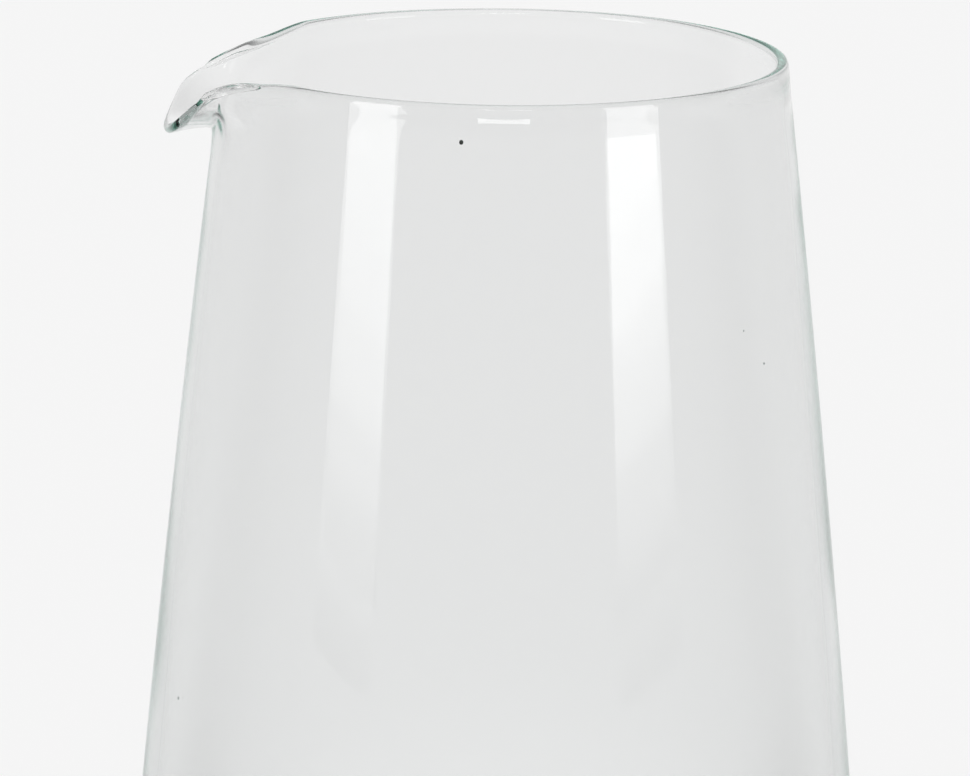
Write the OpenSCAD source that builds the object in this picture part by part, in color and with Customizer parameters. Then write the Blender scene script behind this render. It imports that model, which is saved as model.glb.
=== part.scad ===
// Hand-blown glass carafe: a gently bowed cone with a thick floor and a pulled pouring lip.
// Millimetres, +Z up, origin in the middle of the ring that it stands on, lip towards -X.

/* [Body] */
// Height from the table to the top of the rim
height = 205; // [185:1:225]
// Outside diameter at the rim
rim_d = 82; // [78:1:88]
// Outside diameter just above the heel, where the body is widest
base_d = 118; // [112:1:124]
// How far the wall bows out of a straight cone, half way up
wall_bow = 1.2; // [0:0.1:2.5]
// Wall thickness just below the rim
rim_wall = 1.2; // [1.1:0.1:1.6]
// Wall thickness where the wall runs into the heel
heel_wall = 3; // [2.4:0.1:4]
// Height of the fire-polished band that closes the top of the wall
rim_h = 5; // [4:0.5:8]
// How much the flame thickens the rim, on the inside
bead_in = 0.5; // [0.3:0.05:0.6]
// How much it thickens the rim, on the outside
bead_out = 0.1; // [0:0.02:0.2]
// Height over which the rim thickens
bead_h = 3; // [2:0.1:3.5]
// Height of the round over the rim
rim_round = 0.9; // [0.8:0.05:1.1]

/* [Base] */
// Outside radius of the heel
heel_r = 8; // [6:0.5:9]
// Inside radius between the floor and the wall
corner_r = 12; // [9:0.5:14]
// Glass thickness in the middle of the floor
floor_t = 6; // [5:0.5:8]
// Rise of the push-up in the middle of the underside
punt_h = 4; // [2.5:0.5:5]
// Height of the thick lower band, heel included
heel_h = 26; // [24:1:34]

/* [Spout] */
// How far the lip's tip stands out beyond the rim
lip_reach = 8.3; // [7.5:0.1:9]
// How far the lip's tip hangs below the rim
lip_drop = 9.75; // [8.75:0.05:10.5]
// Width across the lip where it flares most
lip_w = 34; // [31:0.5:36]
// Width of the neck where the lip leaves the wall
neck_w = 26; // [24:0.2:28]
// Depth of the notch in the wall that the lip is folded out of
notch_h = 9.05; // [8.5:0.05:9.5]
// Length over which the wall folds into the lip, in its middle
fold = 1.6; // [1.4:0.1:1.8]
// Angle either side of the lip up to which the rim is reworked
spout_angle = 42; // [40:1:46]
// Height of the reworked patch below the rim
spout_h = 24; // [20:1:30]

/* [Hidden] */
$fn = 160;
glass = [0.72, 0.84, 0.80, 0.55];
thick_glass = [0.55, 0.74, 0.68, 0.65];

rim_r = rim_d / 2;
base_r = base_d / 2;
crest_z = height - rim_round;

// The wall starts where the heel's arc reaches its lean
wall_lean = atan((base_r - rim_r - 4 * wall_bow) / (height - heel_r));
wall_z = heel_r * (1 + sin(wall_lean));
heel_c = base_r - heel_r * cos(wall_lean);
crest_r = mid_r(crest_z);

// The floor is crowned half as much as the push-up below it
crown = punt_h / 2;
floor_z = floor_t + punt_h - crown;
corner_z = floor_z + corner_r;
corner_lean = atan((base_r - heel_wall - rim_r + rim_wall - 4 * wall_bow) / (height - heel_r));
corner_top = corner_z + corner_r * sin(corner_lean);
corner_c = inner_r(corner_top) - corner_r * cos(corner_lean);
floor_lean = 2 * atan(crown / corner_c);
floor_r = corner_c - corner_r * sin(floor_lean);
floor_edge_z = corner_z - corner_r * cos(floor_lean);

// Facets along each arc, and the length of a facet along the bowed wall
arc_steps = 10;
wall_step = 12;
bead_steps = 8;

// Profile of the wall: a straight taper with a parabolic bow
function climb(z) = (z - wall_z) / (height - wall_z);
function outer_r(z) = let (s = climb(z)) base_r + (rim_r - base_r) * s + 4 * wall_bow * s * (1 - s);
function wall_at(z) = heel_wall + (rim_wall - heel_wall) * climb(z);
function inner_r(z) = outer_r(z) - wall_at(z);
function mid_r(z) = outer_r(z) - wall_at(z) / 2;

// Share of the rim's bead at a height, and how far the round over an edge stands from its middle
function ease(x) = let (t = min(1, max(0, x))) t * t * (3 - 2 * t);
function bead_at(z) = ease(1 - (crest_z - z) / bead_h);
function cap(outer, inner, a) = (outer - inner) / 2 + (outer + inner) / 2 * cos(a);

function arc(centre, r, a0, a1) =
    [for (i = [0:arc_steps]) let (a = a0 + (a1 - a0) * i / arc_steps) centre + r * [cos(a), sin(a)]];
function levels(z0, z1) = let (n = ceil(abs(z1 - z0) / wall_step)) [for (i = [0:n]) z0 + (z1 - z0) * i / n];
function outside(z0, z1) = [for (z = levels(z0, z1)) [outer_r(z), z]];
function inside(z0, z1) = [for (z = levels(z0, z1)) [inner_r(z), z]];

// A dome of the given rise over the radius r, from its edge to its middle, standing on z
function dome(r, rise, z) =
    let (big_r = (r * r + rise * rise) / (2 * rise))
    [for (i = [0:arc_steps]) let (x = r * (1 - i / arc_steps))
        [x, z + rise - big_r + sqrt(big_r * big_r - x * x)]];

module base_floor() {
    color(thick_glass) rotate_extrude() polygon(concat(
        [[0, punt_h]],
        [for (i = [1:arc_steps]) dome(floor_r, punt_h, 0)[arc_steps - i]],
        dome(floor_r, floor_z + crown - floor_edge_z, floor_edge_z)
    ));
}

module heel() {
    color(thick_glass) rotate_extrude() polygon(concat(
        [[floor_r, 0]],
        arc([heel_c, heel_r], heel_r, -90, wall_lean),
        outside(wall_z + 1, heel_h),
        inside(heel_h, corner_top + 1),
        arc([corner_c, corner_z], corner_r, corner_lean, -90 - floor_lean)
    ));
}

// The wall has a window on the lip's side, which the spout's patch fills
foot_z = crest_z - spout_h;
band_z = crest_z - rim_h;
window_z = (foot_z + band_z) / 2;

module body_wall() {
    color(glass) difference() {
        rotate_extrude() polygon(concat(
            outside(heel_h, foot_z),
            outside(window_z, band_z),
            inside(band_z, window_z),
            inside(foot_z, heel_h)
        ));
        translate([0, 0, foot_z]) rotate([0, 0, 180 - spout_angle]) rotate_extrude(angle = 2 * spout_angle)
            translate([rim_r / 2, 0]) square([rim_r, spout_h]);
    }
}

bead_z = [for (i = [0:bead_steps]) crest_z - bead_h * (1 - i / bead_steps)];
crest_out = wall_at(crest_z) / 2 + bead_out;
crest_in = wall_at(crest_z) / 2 + bead_in;

module rim() {
    color(glass) rotate([0, 0, spout_angle - 180]) rotate_extrude(angle = 360 - 2 * spout_angle)
        polygon(concat(
            [[outer_r(band_z), band_z]],
            [for (z = bead_z) [outer_r(z) + bead_out * bead_at(z), z]],
            [for (k = [1:arc_steps - 1]) let (a = 180 * k / arc_steps)
                [crest_r + cap(crest_out, crest_in, a), crest_z + rim_round * sin(a)]],
            [for (i = [bead_steps:-1:0]) let (z = bead_z[i]) [inner_r(z) - bead_in * bead_at(z), z]],
            [[inner_r(band_z), band_z]]
        ));
}

// Free edge of the lip, from its tip round the front, the corner, the flare and the neck to the rim:
// distance from the axis towards the lip, distance sideways, drop below the crest
root_angle = 0.6 * spout_angle;
root_r = crest_r + lip_reach / 16;
lip_edge = [
    [crest_r + lip_reach, 0, lip_drop],
    [crest_r + 0.94 * lip_reach, 0.24 * lip_w, 0.93 * lip_drop],
    [crest_r + 0.78 * lip_reach, 0.46 * lip_w, 0.72 * lip_drop],
    [crest_r + 0.46 * lip_reach, 0.455 * lip_w, 0.475 * lip_drop],
    [crest_r + 0.18 * lip_reach, 0.535 * neck_w, 0.28 * lip_drop],
    [root_r * cos(root_angle), root_r * sin(root_angle), 0.1 * lip_drop],
    [crest_r * cos(spout_angle), crest_r * sin(spout_angle), 0]
];

// Fold line on the wall below each of those points: angle from the lip's middle, depth below the crest,
// and how far down the wall the fold starts
neck_angle = asin(neck_w / 2 / crest_r);
fold_line = [
    [0, notch_h, fold],
    [0.33 * neck_angle, 0.94 * notch_h, 1.1 * fold],
    [0.62 * neck_angle, 0.74 * notch_h, 1.8 * fold],
    [0.82 * neck_angle, 0.54 * notch_h, 3.0 * fold],
    [0.98 * neck_angle, 0.37 * notch_h, 4.3 * fold],
    [1.30 * neck_angle, 0.28 * notch_h, 5.5 * fold],
    [spout_angle, 0.28 * notch_h, 5.5 * fold]
];

columns = 56;
wall_rows = 9;
fold_rows = 7;
lip_rows = 7;
cap_steps = 6;
// Rounds of smoothing, as the hot glass evens itself out
easing = 9;
last_row = wall_rows + fold_rows + lip_rows;

// A smooth curve through one half's points and their mirror image, s from -1 to 1
function flipped(p, flip) = [for (k = [0:len(p) - 1]) p[k] * flip[k]];
function mirrored(points, flip) =
    concat([for (i = [len(points) - 1:-1:1]) flipped(points[i], flip)], points);
function spline(points, s) =
    let (n = len(points) - 1, at = (s + 1) / 2 * n, i = min(n - 1, max(0, floor(at))), t = at - i,
         a = points[i], b = points[i + 1],
         before = i > 0 ? points[i - 1] : 2 * a - b, after = i < n - 1 ? points[i + 2] : 2 * b - a)
    (2 * a + (b - before) * t + (2 * before - 5 * a + 4 * b - after) * t * t
     + (3 * a - before - 3 * b + after) * t * t * t) / 2;

edge_points = mirrored(lip_edge, [1, -1, 1]);
fold_points = mirrored(fold_line, [-1, 1, 1]);

function unit(v) = v / norm(v);
function on_wall(angle, depth) =
    let (z = crest_z - depth) [-mid_r(z) * cos(angle), mid_r(z) * sin(angle), z];

// One line of the middle surface, up the wall, round the fold and out to the lip's edge
function meridian(s) =
    let (fold_at = spline(fold_points, s), corner_at = [fold_at.x, fold_at.y], sweep = fold_at.z,
         foot_at = [spout_angle * s, spout_h],
         edge = spline(edge_points, s), tip = [-edge.x, edge.y, crest_z - edge.z],
         corner = on_wall(corner_at.x, corner_at.y),
         bend = min(sweep, 0.75 * norm(tip - corner)),
         rise = 1 - sweep / norm(corner - on_wall(foot_at.x, foot_at.y)),
         start_at = foot_at + (corner_at - foot_at) * rise, start = on_wall(start_at.x, start_at.y),
         end = corner + unit(tip - corner) * bend)
    concat(
        [for (j = [0:wall_rows - 1]) let (at = foot_at + (start_at - foot_at) * j / wall_rows)
            on_wall(at.x, at.y)],
        [for (j = [0:fold_rows]) let (t = j / fold_rows)
            start * (1 - t) * (1 - t) + corner * 2 * t * (1 - t) + end * t * t],
        [for (j = [1:lip_rows]) end + (tip - end) * j / lip_rows]
    );

// Middle surface, evened out inside its border
function eased(g, rounds) = rounds == 0 ? g : eased(
    [for (i = [0:columns]) [for (j = [0:last_row])
        i == 0 || i == columns || j == 0 || j == last_row ? g[i][j]
        : let (around = (g[i - 1][j] + g[i + 1][j] + g[i][j - 1] + g[i][j + 1]) / 4)
            g[i][j] + (around - g[i][j]) * min(1, j / wall_rows)]],
    rounds - 1);
patch = eased([for (i = [0:columns]) meridian(2 * i / columns - 1)], easing);

// One spare column at each side for the directions there
function turned(points, a) =
    [for (p = points) [p.x * cos(a) + p.y * sin(a), p.y * cos(a) - p.x * sin(a), p.z]];
column_angle = 2 * spout_angle / columns;
grid = concat([turned(patch[0], -column_angle)], patch, [turned(patch[columns], column_angle)]);

// Direction across the glass: level on the plain wall, square to the surface on the lip
function across(i, j) =
    let (g = grid[i + 1], p = g[j], level = unit([p.x, p.y, 0]),
         along_row = grid[i + 2][j] - grid[i][j],
         up_column = g[min(last_row, j + 1)] - g[max(0, j - 1)],
         square = unit(cross(up_column, along_row)),
         blend = min(1, j / wall_rows) * min(1, 6 * (1 - abs(2 * i / columns - 1))))
    unit(level * (1 - blend) + square * blend);

// Glass on either side of the middle surface; the rim's bead runs out towards the lip
function bead_left(i, j) = bead_at(patch[0][j].z) * (1 - ease(2.5 * (1 - abs(2 * i / columns - 1))));
function outer_half(i, j) = wall_at(grid[i + 1][j].z) / 2 + bead_out * bead_left(i, j);
function inner_half(i, j) = wall_at(grid[i + 1][j].z) / 2 + bead_in * bead_left(i, j);

// Closed outline of one column: up the outside, over the rounded edge, down the inside
function loop(i) =
    let (g = grid[i + 1], n = across(i, last_row), ahead = g[last_row] - g[last_row - 1],
         out = unit(ahead - n * (ahead * n)),
         outer = outer_half(i, last_row), inner = inner_half(i, last_row),
         half = wall_at(g[last_row].z) / 2, top = half + (rim_round - half) * bead_left(i, last_row))
    concat(
        [for (j = [0:last_row]) g[j] + across(i, j) * outer_half(i, j)],
        [for (k = [1:cap_steps - 1]) let (a = 180 * k / cap_steps)
            g[last_row] + n * cap(outer, inner, a) + out * top * sin(a)],
        [for (j = [last_row:-1:0]) g[j] - across(i, j) * inner_half(i, j)]
    );

loop_size = 2 * (last_row + 1) + cap_steps - 1;

// Two triangles for each cell of the skin between neighbouring columns
skin = [for (i = [0:columns - 1], j = [0:loop_size - 1])
    let (a = i * loop_size, b = a + loop_size, k = (j + 1) % loop_size)
    each [[a + j, b + j, b + k], [a + j, b + k, a + k]]];

// The two ends are strips across the glass, with the half round of the edge as a fan
function end_strip(first) = concat(
    [for (j = [0:last_row - 1]) let (k = loop_size - 1 - j)
        each [[first + j, first + j + 1, first + k - 1], [first + j, first + k - 1, first + k]]],
    [for (k = [1:cap_steps - 1]) [first + last_row, first + last_row + k, first + last_row + k + 1]]
);
function reversed(faces) = [for (f = faces) [f[2], f[1], f[0]]];

module spout() {
    color(thick_glass) polyhedron(
        points = [for (i = [0:columns]) each loop(i)],
        faces = concat(skin, end_strip(0), reversed(end_strip(columns * loop_size)))
    );
}

base_floor();
heel();
body_wall();
rim();
spout();
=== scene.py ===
import bpy
import math
from mathutils import Matrix, Vector, kdtree


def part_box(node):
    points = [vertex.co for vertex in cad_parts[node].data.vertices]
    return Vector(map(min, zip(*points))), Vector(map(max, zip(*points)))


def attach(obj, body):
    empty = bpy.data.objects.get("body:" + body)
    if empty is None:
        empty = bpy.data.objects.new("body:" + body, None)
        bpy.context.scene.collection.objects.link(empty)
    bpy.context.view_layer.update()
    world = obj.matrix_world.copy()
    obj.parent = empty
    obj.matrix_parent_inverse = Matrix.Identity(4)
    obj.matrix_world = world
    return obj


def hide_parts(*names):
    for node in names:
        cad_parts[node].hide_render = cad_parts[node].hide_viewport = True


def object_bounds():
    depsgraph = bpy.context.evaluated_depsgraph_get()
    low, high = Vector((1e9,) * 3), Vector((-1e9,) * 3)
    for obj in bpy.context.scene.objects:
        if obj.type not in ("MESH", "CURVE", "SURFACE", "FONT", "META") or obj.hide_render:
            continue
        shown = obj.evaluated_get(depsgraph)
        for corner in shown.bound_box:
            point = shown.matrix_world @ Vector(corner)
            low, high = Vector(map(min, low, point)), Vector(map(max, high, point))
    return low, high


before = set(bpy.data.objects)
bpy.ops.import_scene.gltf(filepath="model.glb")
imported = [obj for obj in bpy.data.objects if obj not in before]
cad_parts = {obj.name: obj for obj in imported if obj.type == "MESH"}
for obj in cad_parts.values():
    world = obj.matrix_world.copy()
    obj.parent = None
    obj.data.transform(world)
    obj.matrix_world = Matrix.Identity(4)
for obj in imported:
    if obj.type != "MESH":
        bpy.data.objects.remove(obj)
cadLow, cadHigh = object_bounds()
mm = 0.001
print("frame loaded, box", [round(v / mm, 1) for v in cadHigh - cadLow], "mm")


def hexColor(code):
    # sRGB hex to the linear values that the shaders take
    values = [int(code[i:i + 2], 16) / 255 for i in (1, 3, 5)]
    return [v / 12.92 if v <= 0.04045 else ((v + 0.055) / 1.055) ** 2.4 for v in values] + [1.0]


def addNode(tree, kind, settings=None, inputs=None):
    # one node: settings on the node, inputs as plain values or as sockets to link from
    made = tree.nodes.new(kind)
    for name, value in (settings or {}).items():
        setattr(made, name, value)
    for name, value in (inputs or {}).items():
        if isinstance(value, bpy.types.NodeSocket):
            tree.links.new(value, made.inputs[name])
        else:
            made.inputs[name].default_value = value
    return made


def newMaterial(name):
    made = bpy.data.materials.new(name)
    made.use_nodes = True
    made.node_tree.nodes.clear()
    return made, made.node_tree


def setRamp(ramp, stops):
    # stops are (position, colour), at least two
    while len(ramp.elements) < len(stops):
        ramp.elements.new(0.5)
    for element, (position, color) in zip(ramp.elements, stops):
        element.position = position
        element.color = color


def deselectAll():
    if bpy.context.mode != "OBJECT":
        bpy.ops.object.mode_set(mode="OBJECT")
    bpy.ops.object.select_all(action="DESELECT")


# camera, from the rim's ellipse and the two side outlines in the photograph
view = {
    "distance": 1500 * mm,      # from the middle of the rim
    "elevation": math.radians(10.0),
    "aim": Vector((-2.34, 0, 155.67)) * mm,
    "roll": math.radians(0.664),
    "focalPixels": 10342,
    "imageWidth": 970,
    "sensor": 36,
}


def addCamera():
    up = view["elevation"]
    place = Vector((0, -math.cos(up), math.sin(up))) * view["distance"] + Vector((0, 0, cadHigh.z))
    ahead = (view["aim"] - place).normalized()
    right = ahead.cross(Vector((0, 0, 1))).normalized()
    top = right.cross(ahead)
    turned = Matrix((right, top, -ahead)).transposed() @ Matrix.Rotation(view["roll"], 3, "Z")
    deselectAll()
    bpy.ops.object.camera_add(location=place, rotation=turned.to_euler())
    camera = bpy.context.object
    camera.name = "photoCamera"
    camera.data.sensor_width = view["sensor"]
    camera.data.lens = view["focalPixels"] * view["sensor"] / view["imageWidth"]
    camera.data.clip_start = 0.01
    bpy.context.scene.camera = camera
    print("camera", round(camera.data.lens, 1), "mm lens")


addCamera()

# the carafe, with the solids' driving sizes; only the bead fades out over a little more height
body = {
    "height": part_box("rim")[1].z,
    "rimRadius": 41 * mm,
    "baseRadius": 59 * mm,
    "bow": 1.2 * mm,
    "rimWall": 1.2 * mm,
    "rimRound": 0.9 * mm,       # the flame draws the rim up into a slight bead
    "beadOut": 0.1 * mm,
    "beadIn": 0.5 * mm,
    "beadHeight": 4 * mm,
    "heelWall": 3 * mm,
    "heelRadius": 8 * mm,
    "cornerRadius": 12 * mm,
    "floor": 6 * mm,
    "punt": 4 * mm,
    "wallStep": 12 * mm,
    "poleRadius": 12 * mm,      # the middles of floor and push-up are closed with a grid
    "arcSteps": 10,
    "spins": 180,               # one column every 2 degrees
    "weld": 0.005 * mm,         # points closer than this are one
    "unevenness": 0.04 * mm,    # strength and size of the ripples left by blowing
    "ripple": 22 * mm,
}
# flaws in the front wall, as recycled glass has them: distance sideways, height, radius
flaws = {
    "stone": (-6.0 * mm, 199.6 * mm, 0.3 * mm),
    "seeds": [
        (34.3 * mm, 170.3 * mm, 0.12 * mm),
        (37.3 * mm, 164.9 * mm, 0.15 * mm),
        (-45.6 * mm, 113.3 * mm, 0.22 * mm),
    ],
    "stretch": (1, 1.5, 1.15),  # along the wall, through it and up it
    "segments": 16,
    "rings": 10,
}
spout = {
    "reach": 8.3 * mm,
    "drop": 9.75 * mm,
    "width": 34 * mm,
    "neck": 26 * mm,
    "notch": 9.05 * mm,
    "fold": 1.6 * mm,
    "angle": math.radians(42),
    "height": 24 * mm,
    "wallRows": 7,
    "foldRows": 5,
    "lipRows": 5,
    "capSteps": 6,
    "easing": 5,                # rounds of smoothing, as the hot glass evens itself out
    "bendShare": 0.75,          # most of the lip that the fold may take up
    "levelShare": 1 / 6,        # outer part of the patch, where the glass turns from level to square
    "beadEnd": 0.83,            # share of the angle where the rim's bead starts to run out
    "beadFade": 1 / 3,          # and over how much of it
}
inwards = body["baseRadius"] - body["rimRadius"] - 4 * body["bow"]
lean = math.atan(inwards / (body["height"] - body["heelRadius"]))
wallZ = body["heelRadius"] * (1 + math.sin(lean))
crestZ = body["height"] - body["rimRound"]
footZ = crestZ - spout["height"]


def ease(x):
    x = min(1, max(0, x))
    return x * x * (3 - 2 * x)


def climb(z):
    return (z - wallZ) / (body["height"] - wallZ)


def outerRadius(z):
    s = climb(z)
    taper = (body["rimRadius"] - body["baseRadius"]) * s
    return body["baseRadius"] + taper + 4 * body["bow"] * s * (1 - s)


def wallAt(z):
    return body["heelWall"] + (body["rimWall"] - body["heelWall"]) * climb(z)


def beadAt(z):
    # share of the bead at this height
    return ease(1 - (crestZ - z) / body["beadHeight"])


def innerRadius(z):
    return outerRadius(z) - wallAt(z)


def midRadius(z):
    return outerRadius(z) - wallAt(z) / 2


def arcPoints(centre, radius, start, end, steps):
    turns = [start + (end - start) * i / steps for i in range(steps + 1)]
    return [(centre[0] + radius * math.cos(a), centre[1] + radius * math.sin(a)) for a in turns]


def domePoints(radius, rise, z, steps):
    # from the edge of a shallow dome to its middle
    big = (radius ** 2 + rise ** 2) / (2 * rise)
    spots = [radius * (1 - i / steps) for i in range(steps + 1)]
    return [(x, z + rise - big + math.sqrt(big ** 2 - x ** 2)) for x in spots if x >= body["poleRadius"]]


crestRadius = midRadius(crestZ)

# free edge of the lip: distance towards the lip, distance sideways, drop below the crest
rootAngle = 0.6 * spout["angle"]
rootRadius = crestRadius + spout["reach"] / 16
lipEdge = [
    (crestRadius + spout["reach"], 0, spout["drop"]),
    (crestRadius + 0.94 * spout["reach"], 0.24 * spout["width"], 0.93 * spout["drop"]),
    (crestRadius + 0.78 * spout["reach"], 0.46 * spout["width"], 0.72 * spout["drop"]),
    (crestRadius + 0.46 * spout["reach"], 0.455 * spout["width"], 0.475 * spout["drop"]),
    (crestRadius + 0.18 * spout["reach"], 0.535 * spout["neck"], 0.28 * spout["drop"]),
    (rootRadius * math.cos(rootAngle), rootRadius * math.sin(rootAngle), 0.1 * spout["drop"]),
    (crestRadius * math.cos(spout["angle"]), crestRadius * math.sin(spout["angle"]), 0),
]

# fold line on the wall under each of those: angle from the lip's middle, depth below the crest,
# and how far down the wall the fold starts
neckAngle = math.asin(spout["neck"] / 2 / crestRadius)
foldLine = [
    (0, spout["notch"], 1.0 * spout["fold"]),
    (0.33 * neckAngle, 0.94 * spout["notch"], 1.1 * spout["fold"]),
    (0.62 * neckAngle, 0.74 * spout["notch"], 1.8 * spout["fold"]),
    (0.82 * neckAngle, 0.54 * spout["notch"], 3.0 * spout["fold"]),
    (0.98 * neckAngle, 0.37 * spout["notch"], 4.3 * spout["fold"]),
    (1.30 * neckAngle, 0.28 * spout["notch"], 5.5 * spout["fold"]),
    (spout["angle"], 0.28 * spout["notch"], 5.5 * spout["fold"]),
]
edgePoints = [Vector((x, -y, z)) for x, y, z in lipEdge[:0:-1]] + [Vector(p) for p in lipEdge]
foldPoints = [Vector((-a, d, w)) for a, d, w in foldLine[:0:-1]] + [Vector(p) for p in foldLine]


def spline(points, s):
    # smooth curve through the points, s from -1 to 1
    last = len(points) - 1
    at = (s + 1) / 2 * last
    i = min(last - 1, max(0, math.floor(at)))
    t = at - i
    a, b = points[i], points[i + 1]
    before = points[i - 1] if i > 0 else 2 * a - b
    after = points[i + 2] if i < last - 1 else 2 * b - a
    square = 2 * before - 5 * a + 4 * b - after
    cube = 3 * a - before - 3 * b + after
    return (2 * a + (b - before) * t + square * t ** 2 + cube * t ** 3) / 2


def onWall(at):
    angle, depth = at
    r = midRadius(crestZ - depth)
    return Vector((-r * math.cos(angle), r * math.sin(angle), crestZ - depth))


def meridian(s):
    # middle of the glass, up the wall, round the fold and out to the lip's edge
    cornerAt = spline(foldPoints, s)
    sweep = cornerAt.z
    cornerAt = cornerAt.xy
    footAt = Vector((spout["angle"] * s, spout["height"]))
    edge = spline(edgePoints, s)
    tip = Vector((-edge.x, edge.y, crestZ - edge.z))
    corner = onWall(cornerAt)
    bend = min(sweep, spout["bendShare"] * (tip - corner).length)
    startAt = footAt.lerp(cornerAt, 1 - sweep / (corner - onWall(footAt)).length)
    start = onWall(startAt)
    end = corner + (tip - corner).normalized() * bend
    rows = [onWall(footAt.lerp(startAt, j / spout["wallRows"])) for j in range(spout["wallRows"])]
    for j in range(spout["foldRows"] + 1):
        t = j / spout["foldRows"]
        rows.append(start * (1 - t) ** 2 + corner * 2 * t * (1 - t) + end * t ** 2)
    rows += [end.lerp(tip, j / spout["lipRows"]) for j in range(1, spout["lipRows"] + 1)]
    return rows


def carafeProfile():
    # half section as (radius, height), and what each of its points is for
    crown = body["punt"] / 2
    floorZ = body["floor"] + body["punt"] - crown
    cornerZ = floorZ + body["cornerRadius"]
    inset = body["baseRadius"] - body["heelWall"] - body["rimRadius"] + body["rimWall"] - 4 * body["bow"]
    cornerLean = math.atan(inset / (body["height"] - body["heelRadius"]))
    cornerTop = cornerZ + body["cornerRadius"] * math.sin(cornerLean)
    cornerCentre = innerRadius(cornerTop) - body["cornerRadius"] * math.cos(cornerLean)
    floorLean = 2 * math.atan(crown / cornerCentre)
    floorRadius = cornerCentre - body["cornerRadius"] * math.sin(floorLean)
    floorEdge = cornerZ - body["cornerRadius"] * math.cos(floorLean)
    heelCentre = body["baseRadius"] - body["heelRadius"] * math.cos(lean)
    steps = body["arcSteps"]
    climbs = math.ceil((footZ - wallZ) / body["wallStep"])
    rows = [p.z for p in meridian(1)]
    capOut = wallAt(crestZ) / 2 + body["beadOut"]
    capIn = wallAt(crestZ) / 2 + body["beadIn"]
    heelArc = arcPoints((heelCentre, body["heelRadius"]), body["heelRadius"], -math.pi / 2, lean, steps)
    cornerEnd = -math.pi / 2 - floorLean
    cornerArc = arcPoints((cornerCentre, cornerZ), body["cornerRadius"], cornerLean, cornerEnd, steps)
    risingZ = [wallZ + (footZ - wallZ) * i / climbs for i in range(1, climbs)]
    fallingZ = [footZ + (cornerTop - footZ) * i / climbs for i in range(1, climbs)]
    points = domePoints(floorRadius, body["punt"], 0, steps)[::-1] + heelArc
    points += [(outerRadius(z), z) for z in risingZ]
    roles = ["plain"] * len(points)
    for j, z in enumerate(rows):
        points.append((midRadius(z) + wallAt(z) / 2 + body["beadOut"] * beadAt(z), z))
        roles.append(("outside", j))
    for k in range(1, spout["capSteps"]):
        a = math.pi * k / spout["capSteps"]
        across = (capOut - capIn) / 2 + (capOut + capIn) / 2 * math.cos(a)
        points.append((crestRadius + across, crestZ + body["rimRound"] * math.sin(a)))
        roles.append(("edge", a))
    for j, z in reversed(list(enumerate(rows))):
        points.append((midRadius(z) - wallAt(z) / 2 - body["beadIn"] * beadAt(z), z))
        roles.append(("inside", j))
    points += [(innerRadius(z), z) for z in fallingZ] + cornerArc
    points += domePoints(floorRadius, floorZ + crown - floorEdge, floorEdge, steps)[1:]
    roles += ["plain"] * (len(points) - len(roles))
    return points, roles


def closePole(glass, radius, z):
    # fills the ring that is left open round the axis with a grid of quads
    bpy.ops.mesh.select_all(action="DESELECT")
    bpy.ops.object.mode_set(mode="OBJECT")
    for vertex in glass.data.vertices:
        near = abs(math.hypot(vertex.co.x, vertex.co.y) - radius) + abs(vertex.co.z - z)
        vertex.select = near < 4 * body["weld"]
    bpy.ops.object.mode_set(mode="EDIT")
    bpy.ops.mesh.fill_grid(span=body["spins"] // 4)


def spinCarafe(points):
    # a plane merged to one vertex, drawn out along the half section, then spun round the axis
    deselectAll()
    first = Vector((points[0][0], 0, points[0][1]))
    bpy.ops.mesh.primitive_plane_add(size=2 * mm, location=first)
    glass = bpy.context.object
    glass.name = "carafe_glass"
    bpy.ops.object.transform_apply(location=True, rotation=True, scale=True)
    bpy.ops.object.mode_set(mode="EDIT")
    bpy.ops.mesh.select_all(action="SELECT")
    bpy.ops.mesh.merge(type="CENTER")
    for (r0, z0), (r1, z1) in zip(points, points[1:]):
        bpy.ops.mesh.extrude_region_move(TRANSFORM_OT_translate={"value": (r1 - r0, 0, z1 - z0)})
    bpy.ops.mesh.select_all(action="SELECT")
    bpy.ops.mesh.spin(steps=body["spins"], angle=2 * math.pi, center=(0, 0, 0), axis=(0, 0, 1))
    bpy.ops.mesh.select_all(action="SELECT")
    bpy.ops.mesh.remove_doubles(threshold=body["weld"])
    for r, z in (points[0], points[-1]):
        closePole(glass, r, z)
    bpy.ops.mesh.select_all(action="SELECT")
    bpy.ops.mesh.normals_make_consistent(inside=False)
    bpy.ops.object.mode_set(mode="OBJECT")
    print("glass spun,", len(glass.data.vertices), "vertices")
    return glass


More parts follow.
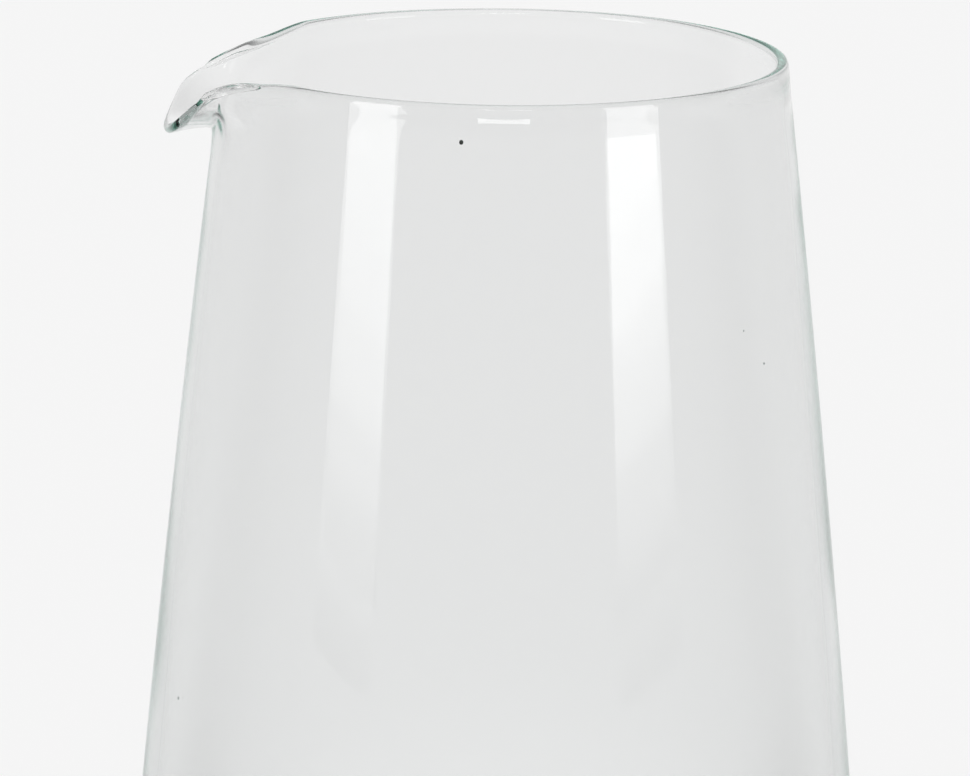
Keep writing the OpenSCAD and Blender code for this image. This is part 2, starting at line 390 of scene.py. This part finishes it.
def foldSpout(glass, points, roles):
    # the columns on the lip's side leave the plain wall and follow the fold and the lip
    columns = round(spout["angle"] / (2 * math.pi / body["spins"]))
    last = spout["wallRows"] + spout["foldRows"] + spout["lipRows"]
    grid = {i: meridian(i / columns) for i in range(-columns, columns + 1)}
    for again in range(spout["easing"]):
        before = {i: list(rows) for i, rows in grid.items()}
        for i in range(1 - columns, columns):
            for j in range(1, last):
                around = before[i - 1][j] + before[i + 1][j] + before[i][j - 1] + before[i][j + 1]
                grid[i][j] = before[i][j].lerp(around / 4, min(1, j / spout["wallRows"]))
    for side in (-1, 1):
        turn = Matrix.Rotation(-side * spout["angle"] / columns, 3, "Z")
        grid[side * (columns + 1)] = [turn @ p for p in grid[side * columns]]

    def across(i, j):
        # level on the plain wall, square to the glass on the lip
        level = Vector((grid[i][j].x, grid[i][j].y, 0)).normalized()
        alongRow = grid[i + 1][j] - grid[i - 1][j]
        upColumn = grid[i][min(last, j + 1)] - grid[i][max(0, j - 1)]
        square = upColumn.cross(alongRow).normalized()
        blend = min(1, j / spout["wallRows"]) * min(1, (1 - abs(i) / columns) / spout["levelShare"])
        return level.lerp(square, blend).normalized()

    def bead(i, j):
        # the rim's bead runs out towards the lip
        gone = ease((spout["beadEnd"] - abs(i) / columns) / spout["beadFade"])
        return beadAt(grid[columns][j].z) * (1 - gone)

    section = kdtree.KDTree(len(points))
    for k, (r, z) in enumerate(points):
        section.insert((r, z, 0), k)
    section.balance()
    moved = 0
    for vertex in glass.data.vertices:
        r = math.hypot(vertex.co.x, vertex.co.y)
        role = roles[section.find((r, vertex.co.z, 0))[1]]
        i = round(math.atan2(vertex.co.y, -vertex.co.x) / spout["angle"] * columns)
        if role == "plain" or abs(i) > columns:
            continue
        kind, where = role
        j = last if kind == "edge" else where
        middle = grid[i][j]
        out = across(i, j)
        share = bead(i, j)
        half = wallAt(middle.z) / 2
        outer = half + body["beadOut"] * share
        inner = half + body["beadIn"] * share
        if kind == "outside":
            vertex.co = middle + out * outer
        elif kind == "inside":
            vertex.co = middle - out * inner
        else:
            ahead = middle - grid[i][last - 1]
            ahead = (ahead - out * ahead.dot(out)).normalized()
            top = half + (body["rimRound"] - half) * share
            beside = (outer - inner) / 2 + (outer + inner) / 2 * math.cos(where)
            vertex.co = middle + out * beside + ahead * top * math.sin(where)
        moved += 1
    glass.data.update()
    print("spout folded,", moved, "vertices")


def addSpeck(sideways, z, radius):
    # an egg-shaped speck in the middle of the wall
    turn = math.asin(sideways / midRadius(z))
    place = Matrix.Rotation(turn, 3, "Z") @ Vector((0, -midRadius(z), z))
    deselectAll()
    bpy.ops.mesh.primitive_uv_sphere_add(
        segments=flaws["segments"], ring_count=flaws["rings"], radius=radius,
        location=place, rotation=(0, 0, turn), scale=flaws["stretch"])
    bpy.ops.object.transform_apply(location=True, rotation=True, scale=True)
    return bpy.context.object


def blowSeed(sideways, z, radius):
    # a bubble is a void, so its faces look inwards
    bubble = addSpeck(sideways, z, radius)
    bpy.ops.object.mode_set(mode="EDIT")
    bpy.ops.mesh.select_all(action="SELECT")
    bpy.ops.mesh.flip_normals()
    bpy.ops.object.mode_set(mode="OBJECT")
    return bubble


profile, profileRoles = carafeProfile()
carafe = spinCarafe(profile)
foldSpout(carafe, profile, profileRoles)
deselectAll()
carafe.select_set(True)
bpy.context.view_layer.objects.active = carafe
bpy.ops.object.modifier_add(type="SUBSURF")
carafe.modifiers[0].levels = 1
carafe.modifiers[0].render_levels = 1
bpy.ops.object.modifier_apply(modifier=carafe.modifiers[0].name)
bpy.ops.object.modifier_add(type="DISPLACE")
blowing = carafe.modifiers[0]
blowing.texture = bpy.data.textures.new("blowingRipples", "CLOUDS")
blowing.texture.noise_scale = body["ripple"]
blowing.strength = body["unevenness"]
blowing.texture_coords = "LOCAL"
bpy.ops.object.modifier_apply(modifier=blowing.name)
print("glass smoothed,", len(carafe.data.polygons), "faces")

# recycled soda-lime glass, blown and fire-polished: clear, grey-green only where the eye looks along it
glassLook = {
    "ior": 1.52,
    "surface": "#FBFBFB",       # a trace is lost at each face
    "tint": "#70C1B0",
    "density": 6.0,
    "bloom": 25 * mm,           # size of the patches that are a little less bright
    "bloomRange": (0.3, 0.7),
    "roughness": (0.0, 0.05),
}


def blownGlass():
    material, tree = newMaterial("recycledBlownGlass")
    spot = addNode(tree, "ShaderNodeTexCoord")
    patches = addNode(tree, "ShaderNodeTexNoise", inputs={
        "Vector": spot.outputs["Object"], "Scale": 1 / glassLook["bloom"], "Detail": 2.0})
    polish = addNode(tree, "ShaderNodeMapRange", inputs={
        "Value": patches.outputs[0],
        "From Min": glassLook["bloomRange"][0],
        "From Max": glassLook["bloomRange"][1],
        "To Min": glassLook["roughness"][0],
        "To Max": glassLook["roughness"][1],
    })
    shader = addNode(tree, "ShaderNodeBsdfPrincipled", inputs={
        "Base Color": hexColor(glassLook["surface"]),
        "Transmission Weight": 1.0,
        "IOR": glassLook["ior"],
        "Roughness": polish.outputs[0],
    })
    depth = addNode(tree, "ShaderNodeVolumeAbsorption", inputs={
        "Color": hexColor(glassLook["tint"]),
        "Density": glassLook["density"],
    })
    addNode(tree, "ShaderNodeOutputMaterial", inputs={
        "Surface": shader.outputs["BSDF"],
        "Volume": depth.outputs["Volume"],
    })
    return material


# unmelted grain from the furnace wall: dull, nearly black, sharp against the clear glass
grain = {
    "dark": "#1E2120",
    "pale": "#4A4D49",
    "mottle": 0.15 * mm,
    "mottleRange": (0.35, 0.65),
    "roughness": 0.7,
}


def furnaceStone():
    material, tree = newMaterial("furnaceStone")
    spot = addNode(tree, "ShaderNodeTexCoord")
    mottle = addNode(tree, "ShaderNodeTexNoise", inputs={
        "Vector": spot.outputs["Object"], "Scale": 1 / grain["mottle"], "Detail": 2.0})
    ramp = addNode(tree, "ShaderNodeValToRGB", inputs={0: mottle.outputs[0]})
    low, high = grain["mottleRange"]
    setRamp(ramp.color_ramp, [(low, hexColor(grain["dark"])), (high, hexColor(grain["pale"]))])
    shader = addNode(tree, "ShaderNodeBsdfPrincipled", inputs={
        "Base Color": ramp.outputs[0], "Roughness": grain["roughness"]})
    addNode(tree, "ShaderNodeOutputMaterial", inputs={"Surface": shader.outputs["BSDF"]})
    return material


bubbles = [blowSeed(*seed) for seed in flaws["seeds"]]
speck = addSpeck(*flaws["stone"])
speck.data.materials.append(furnaceStone())
clearGlass = blownGlass()
for piece in [carafe] + bubbles:
    piece.data.materials.append(clearGlass)
deselectAll()
for piece in [carafe, speck] + bubbles:
    piece.select_set(True)
bpy.context.view_layer.objects.active = carafe
bpy.ops.object.join()
bpy.ops.object.shade_smooth()
print("flaws set in the glass,", len(carafe.data.materials), "materials")
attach(carafe, "root")
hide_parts("base_floor", "heel", "body_wall", "rim", "spout")

# studio: pale floor and backdrop, a dim room that only reflections show, two strip lights and a box
# over the camera
studio = {
    "paper": "#F6F6F6",
    # greys that only mirrored paths see, by direction from front to back
    "roomShades": [
        (-1.0, 0.60), (-0.6, 0.60), (0.0, 0.50), (0.4, 0.51), (0.7, 0.65), (0.9, 0.80), (1.0, 0.88),
    ],
    "ceilingShade": 0.35,
    "ceilingFrom": (0.15, 0.5), # upward share of the direction, where it starts and is full
    "paintedNearShade": 0.12,          # painted shade: a dark half ring on the floor in front of the carafe, seen only in reflections
    "paintedNearRing": (0.12, 0.2, 0.65, 0.8),
    "paintedNearFront": (0.1, 0.35),
    "paintedTrappedShade": 0.8,        # painted grey of the floor, for light that has run along inside the glass
    "trappedRoom": 0.4,         # and the room
    "floorSize": 14.0,
    "floorGap": 0.02 * mm,      # keeps the paper clear of the foot
    "stripDistance": 1.0,
}
# strip lights; steps are (height in metres, strength), fading out towards the table
leftStrip = {
    "azimuth": math.radians(-52.8),
    "width": 0.374,
    "steps": [
        (0.06, 0.0), (0.078, 0.5), (0.09, 1.15), (0.115, 1.2), (0.12, 1.5), (0.131, 1.55),
        (0.138, 2.2), (0.15, 2.4), (0.185, 2.5), (0.198, 2.8), (0.7, 2.8),
    ],
}
rightStrip = {
    "azimuth": math.radians(51.7),
    "width": 0.394,
    "steps": [
        (0.06, 0.0), (0.075, 0.5), (0.09, 0.75), (0.11, 1.2), (0.128, 1.3), (0.133, 2.1),
        (0.15, 2.5), (0.168, 2.6), (0.173, 3.5), (0.32, 3.5), (0.36, 1.2), (0.7, 1.2),
    ],
}
# box over the camera, for the line of light under the front rim
frontBox = {
    "distance": 1.55,
    "elevation": math.radians(30.6),
    "size": (0.55, 0.13),
    "strength": 5.0,            # the same all over
}


def reflectedOnly(tree):
    # 1 on a path that has been mirrored by the glass, 0 on one that comes straight or through it
    path = addNode(tree, "ShaderNodeLightPath")
    mirrored = addNode(tree, "ShaderNodeMath", {"operation": "GREATER_THAN"}, {
        0: path.outputs["Glossy Depth"], 1: 0.5})
    return path, mirrored.outputs[0]


def trappedOr(tree, path, shade, grey):
    # light that was mirrored more than once came along inside the wall
    trapped = addNode(tree, "ShaderNodeMath", {"operation": "GREATER_THAN"}, {
        0: path.outputs["Glossy Depth"], 1: 1.5})
    mixed = addNode(tree, "ShaderNodeMix", {"data_type": "RGBA"}, {
        0: trapped.outputs[0], 6: shade, 7: [grey] * 3 + [1]})
    return mixed.outputs[2]


def smoothStep(tree, value, low, high):
    return addNode(tree, "ShaderNodeMapRange", {"interpolation_type": "SMOOTHSTEP"}, {
        "Value": value, "From Min": low, "From Max": high}).outputs[0]


def shadeAlong(tree, vector, shades):
    # grey that follows one ramp from the front of the studio to its back
    low, high = shades[0][0], shades[-1][0]
    parts = addNode(tree, "ShaderNodeSeparateXYZ", inputs={0: vector})
    place = addNode(tree, "ShaderNodeMapRange", inputs={
        "Value": parts.outputs["Y"], "From Min": low, "From Max": high})
    ramp = addNode(tree, "ShaderNodeValToRGB", inputs={0: place.outputs[0]})
    setRamp(ramp.color_ramp, [((at - low) / (high - low), (g, g, g, 1)) for at, g in shades])
    return ramp.outputs[0]


def lightWorld():
    # paper straight on or through the glass, white light on matt surfaces, a dim room in mirrored paths
    world = bpy.data.worlds.new("studioRoom")
    bpy.context.scene.world = world
    world.use_nodes = True
    tree = world.node_tree
    tree.nodes.clear()
    path, mirrored = reflectedOnly(tree)
    paper = addNode(tree, "ShaderNodeBackground", inputs={
        "Color": hexColor(studio["paper"]), "Strength": 1.0})
    light = addNode(tree, "ShaderNodeBackground", inputs={
        "Color": hexColor("#FFFFFF"), "Strength": 1.0})
    ahead = addNode(tree, "ShaderNodeTexCoord").outputs["Generated"]
    height = addNode(tree, "ShaderNodeSeparateXYZ", inputs={0: ahead})
    shade = addNode(tree, "ShaderNodeMix", {"data_type": "RGBA"}, {
        0: smoothStep(tree, height.outputs["Z"], *studio["ceilingFrom"]),
        6: shadeAlong(tree, ahead, studio["roomShades"]),
        7: [studio["ceilingShade"]] * 3 + [1]})
    dim = trappedOr(tree, path, shade.outputs[2], studio["trappedRoom"])
    room = addNode(tree, "ShaderNodeBackground", inputs={"Color": dim, "Strength": 1.0})
    seen = addNode(tree, "ShaderNodeMixShader", inputs={
        0: path.outputs["Is Diffuse Ray"], 1: paper.outputs[0], 2: light.outputs[0]})
    split = addNode(tree, "ShaderNodeMixShader", inputs={
        0: mirrored, 1: seen.outputs[0], 2: room.outputs[0]})
    addNode(tree, "ShaderNodeOutputWorld", inputs={"Surface": split.outputs[0]})


def paperFloor():
    # matt photographic paper; in mirrored paths it glows instead with dimmer painted greys: painted room
    # shades by direction, a painted dark half ring in front and a painted grey for light trapped in the
    # glass
    material, tree = newMaterial("paperWithPaintedReflectionGreys")
    path, mirrored = reflectedOnly(tree)
    pale = addNode(tree, "ShaderNodeBsdfDiffuse", inputs={"Color": hexColor(studio["paper"])})
    spot = addNode(tree, "ShaderNodeTexCoord").outputs["Object"]
    ahead = addNode(tree, "ShaderNodeVectorMath", {"operation": "NORMALIZE"}, {0: spot})
    away = addNode(tree, "ShaderNodeVectorMath", {"operation": "LENGTH"}, {0: spot}).outputs["Value"]
    back = addNode(tree, "ShaderNodeSeparateXYZ", inputs={0: spot}).outputs["Y"]
    # painted shade: a dark half ring on the floor in front, which only mirrored paths see
    inner, innerEnd, outer, outerEnd = studio["paintedNearRing"]
    inside = smoothStep(tree, away, inner, innerEnd)
    outside = smoothStep(tree, away, outerEnd, outer)
    front = smoothStep(tree, back, studio["paintedNearFront"][1], studio["paintedNearFront"][0])
    ring = addNode(tree, "ShaderNodeMath", {"operation": "MULTIPLY"}, {0: inside, 1: outside})
    near = addNode(tree, "ShaderNodeMath", {"operation": "MULTIPLY"}, {0: ring.outputs[0], 1: front})
    shade = addNode(tree, "ShaderNodeMix", {"data_type": "RGBA"}, {
        0: near.outputs[0],
        6: shadeAlong(tree, ahead.outputs[0], studio["roomShades"]),
        7: [studio["paintedNearShade"]] * 3 + [1]})
    dim = trappedOr(tree, path, shade.outputs[2], studio["paintedTrappedShade"])
    # painted reflection: the floor glows with these greys in mirrored paths only, though it is no lamp
    paintedReflectionGlow = addNode(tree, "ShaderNodeEmission", inputs={"Color": dim})
    split = addNode(tree, "ShaderNodeMixShader", inputs={
        0: mirrored, 1: pale.outputs[0], 2: paintedReflectionGlow.outputs[0]})
    addNode(tree, "ShaderNodeOutputMaterial", inputs={"Surface": split.outputs[0]})
    deselectAll()
    bpy.ops.mesh.primitive_plane_add(size=studio["floorSize"], location=(0, 0, -studio["floorGap"]))
    floor = bpy.context.object
    floor.name = "paperFloor"
    floor.data.materials.append(material)


def softboxMaterial(name, steps):
    # glows only in mirrored paths; steps are (height, strength)
    material, tree = newMaterial(name)
    path, mirrored = reflectedOnly(tree)
    low, high = steps[0][0], steps[-1][0]
    most = max(s for z, s in steps)
    place = addNode(tree, "ShaderNodeTexCoord")
    height = addNode(tree, "ShaderNodeSeparateXYZ", inputs={0: place.outputs["Object"]})
    rise = addNode(tree, "ShaderNodeMapRange", inputs={
        "Value": height.outputs["Z"], "From Min": low, "From Max": high})
    ramp = addNode(tree, "ShaderNodeValToRGB", inputs={0: rise.outputs[0]})
    setRamp(ramp.color_ramp, [((z - low) / (high - low), [s / most] * 3 + [1]) for z, s in steps])
    glow = addNode(tree, "ShaderNodeEmission", inputs={"Color": ramp.outputs[0], "Strength": most})
    clear = addNode(tree, "ShaderNodeBsdfTransparent")
    split = addNode(tree, "ShaderNodeMixShader", inputs={
        0: mirrored, 1: clear.outputs[0], 2: glow.outputs[0]})
    addNode(tree, "ShaderNodeOutputMaterial", inputs={"Surface": split.outputs[0]})
    return material


def hideFromView(lamp):
    # shows in the glass only, and lights nothing else
    lamp.visible_camera = False
    lamp.visible_diffuse = False
    lamp.visible_shadow = False
    lamp.visible_volume_scatter = False


def addStrip(name, strip):
    low, high = strip["steps"][0][0], strip["steps"][-1][0]
    ahead = Vector((math.sin(strip["azimuth"]), -math.cos(strip["azimuth"]), 0))
    place = ahead * studio["stripDistance"] + Vector((0, 0, (low + high) / 2))
    deselectAll()
    bpy.ops.mesh.primitive_plane_add(size=1, location=place, rotation=(math.pi / 2, 0, strip["azimuth"]))
    panel = bpy.context.object
    panel.name = name
    panel.scale = (strip["width"], high - low, 1)
    bpy.ops.object.transform_apply(location=True, rotation=True, scale=True)
    panel.data.materials.append(softboxMaterial(name, strip["steps"]))
    hideFromView(panel)


def addFrontBox():
    up = frontBox["elevation"]
    ahead = Vector((0, -math.cos(up), math.sin(up)))
    place = ahead * frontBox["distance"] + Vector((0, 0, body["height"]))
    deselectAll()
    bpy.ops.mesh.primitive_plane_add(size=1, location=place, rotation=(math.pi / 2 - up, 0, 0))
    panel = bpy.context.object
    panel.name = "frontBox"
    panel.scale = frontBox["size"] + (1,)
    bpy.ops.object.transform_apply(location=True, rotation=True, scale=True)
    steps = [(0, frontBox["strength"]), (1, frontBox["strength"])]
    panel.data.materials.append(softboxMaterial("frontBox", steps))
    hideFromView(panel)


lightWorld()
paperFloor()
addStrip("leftStrip", leftStrip)
addStrip("rightStrip", rightStrip)
addFrontBox()
print("studio lit")

bpy.context.scene.view_settings.view_transform = "Standard"
cycles = bpy.context.scene.cycles
cycles.blur_glossy = 0.0        # the glass stays clear to the paper under it
cycles.max_bounces = 300        # light runs a long way inside a glass wall
cycles.glossy_bounces = 256
cycles.transmission_bounces = 64
